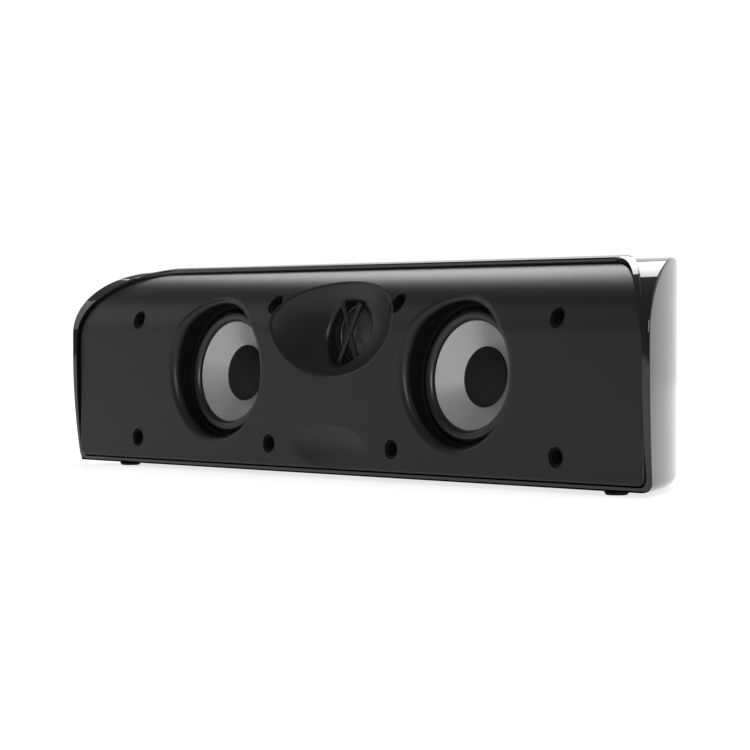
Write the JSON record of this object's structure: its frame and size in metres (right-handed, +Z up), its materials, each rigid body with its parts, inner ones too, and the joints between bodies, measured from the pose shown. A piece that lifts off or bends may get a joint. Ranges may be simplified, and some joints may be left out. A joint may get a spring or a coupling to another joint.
{
  "type": "center channel speaker",
  "caption": "Low, wide center channel speaker with rolled-over front, recessed metal-cone woofers, a dished tweeter with crossed guard bars and a tapered gloss cabinet.",
  "frame": {"origin": "middle of the footprint box, on the plane the feet stand on", "axes": "+X to the right seen from behind the listener facing the speaker's front, +Y from the front to the rear, +Z up; the drivers face -Y"},
  "size_m": [0.3576, 0.117, 0.0904],
  "materials": {
    "baffle": "satin",
    "basket": "satin",
    "board": "satin",
    "brass": "gloss",
    "cap_black": "gloss",
    "cap_red": "gloss",
    "capacitor": "satin",
    "coil": "satin",
    "cone": "satin",
    "copper": "satin",
    "cup": "satin",
    "dome": "satin",
    "dust_cap": "matte",
    "ferrite": "matte",
    "foam": "matte",
    "neodymium": "gloss",
    "resistor": "matte",
    "rubber_black": "matte",
    "screw_black": "satin",
    "shell": "high gloss",
    "spider": "matte",
    "steel": "satin",
    "surround": "satin",
    "tweeter_face": "matte",
    "wadding": "matte"
  },
  "bodies": {
    "cabinet": {"baffle_gasket": "foam", "binding_post_nuts": "brass", "binding_post_stud_black": "brass", "binding_post_stud_red": "brass", "cabinet_shell": "shell", "crossover_board": "board", "crossover_capacitors": "capacitor", "crossover_inductors": "copper", "crossover_resistor": "resistor", "damping_pad_left": "wadding", "damping_pad_right": "wadding", "feet": "rubber_black", "front_baffle": "baffle", "grille_sockets": "rubber_black", "terminal_cup": "cup", "terminal_screws": "screw_black", "tweeter_faceplate": "tweeter_face", "tweeter_magnet": "neodymium", "tweeter_pole_plate": "steel", "tweeter_screws": "steel", "tweeter_yoke": "steel", "wall_insert": "brass", "woofer_left_basket": "basket", "woofer_left_gasket": "foam", "woofer_left_magnet": "ferrite", "woofer_left_top_plate": "steel", "woofer_left_yoke": "steel", "woofer_right_basket": "basket", "woofer_right_gasket": "foam", "woofer_right_magnet": "ferrite", "woofer_right_top_plate": "steel", "woofer_right_yoke": "steel", "woofer_screws": "steel"},
    "woofer_left_cone": {"woofer_left_cone": "cone", "woofer_left_dust_cap": "dust_cap", "woofer_left_voice_coil": "coil", "woofer_left_surround": "surround", "woofer_left_spider": "spider"},
    "woofer_right_cone": {"woofer_right_cone": "cone", "woofer_right_dust_cap": "dust_cap", "woofer_right_voice_coil": "coil", "woofer_right_surround": "surround", "woofer_right_spider": "spider"},
    "tweeter_dome": {"tweeter_dome": "dome", "tweeter_voice_coil": "coil", "tweeter_surround": "surround"},
    "clamp_washer_black": {"binding_post_washer_black": "brass"},
    "clamp_cap_black": {"binding_post_cap_black": "cap_black"},
    "clamp_washer_red": {"binding_post_washer_red": "brass"},
    "clamp_cap_red": {"binding_post_cap_red": "cap_red"}
  },
  "joints": [
    {"name": "woofer_left_stroke", "type": "slide", "parent": "cabinet", "child": "woofer_left_cone", "axis": [0, -0.9953, 0.0965], "range_m": [-0.002, 0.002], "stiffness_N_per_m": 1000, "deforming": ["woofer_left_surround", "woofer_left_spider"]},
    {"name": "woofer_right_stroke", "type": "slide", "parent": "cabinet", "child": "woofer_right_cone", "axis": [0, -0.9953, 0.0965], "range_m": [-0.002, 0.002], "stiffness_N_per_m": 1000, "deforming": ["woofer_right_surround", "woofer_right_spider"]},
    {"name": "tweeter_stroke", "type": "slide", "parent": "cabinet", "child": "tweeter_dome", "axis": [0, -0.9953, 0.0965], "range_m": [-0.0003, 0.0003], "stiffness_N_per_m": 1500, "deforming": ["tweeter_surround"]},
    {"name": "clamp_travel_black", "type": "slide", "parent": "cabinet", "child": "clamp_washer_black", "axis": [0, 1, 0], "range_m": [0, 0.002]},
    {"name": "clamp_turn_black", "type": "hinge", "parent": "clamp_washer_black", "child": "clamp_cap_black", "pos_m": [-0.00953, 0.05, 0.036], "axis": [0, 1, 0], "range_deg": [0, 1030]},
    {"name": "clamp_travel_red", "type": "slide", "parent": "cabinet", "child": "clamp_washer_red", "axis": [0, 1, 0], "range_m": [0, 0.002]},
    {"name": "clamp_turn_red", "type": "hinge", "parent": "clamp_washer_red", "child": "clamp_cap_red", "pos_m": [0.00953, 0.05, 0.036], "axis": [0, 1, 0], "range_deg": [0, 1030]}
  ],
  "couplings": [
    {"joint": "clamp_turn_black", "follows": "clamp_travel_black", "rad_per_m": 8976},
    {"joint": "clamp_turn_red", "follows": "clamp_travel_red", "rad_per_m": 8976}
  ]
}
